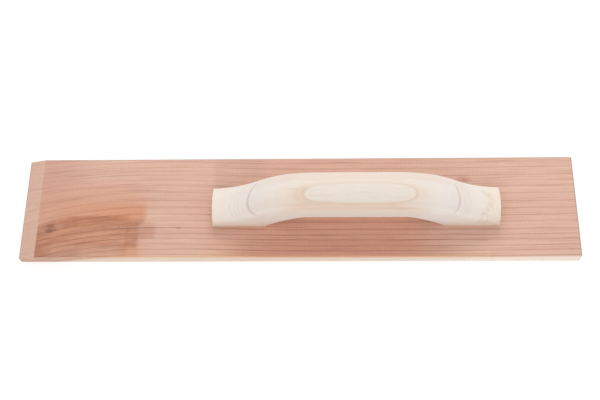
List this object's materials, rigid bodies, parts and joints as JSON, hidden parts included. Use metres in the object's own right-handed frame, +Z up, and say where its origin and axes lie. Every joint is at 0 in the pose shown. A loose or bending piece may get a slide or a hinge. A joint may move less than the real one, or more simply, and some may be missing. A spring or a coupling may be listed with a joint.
{
  "type": "wooden hand float",
  "caption": "Long wooden hand float: a flat rectangular board bevelled at one end, with a low bridge handle screwed on from below.",
  "frame": {"origin": "centre of the blade's flat working face, which lies on Z = 0", "axes": "+X along the blade towards its square end, so the bevelled end is at -X; +Y across the blade; +Z up through the handle"},
  "size_m": [0.4572, 0.087, 0.0612],
  "materials": {
    "blade_wood": "planed reddish softwood, unfinished",
    "handle_wood": "sanded pale hardwood, unfinished",
    "screw_steel": "zinc-plated steel"
  },
  "bodies": {
    "root": {"blade": "blade_wood", "handle": "handle_wood", "screw_left_outer": "screw_steel", "screw_left_inner": "screw_steel", "screw_right_inner": "screw_steel", "screw_right_outer": "screw_steel"}
  },
  "joints": []
}
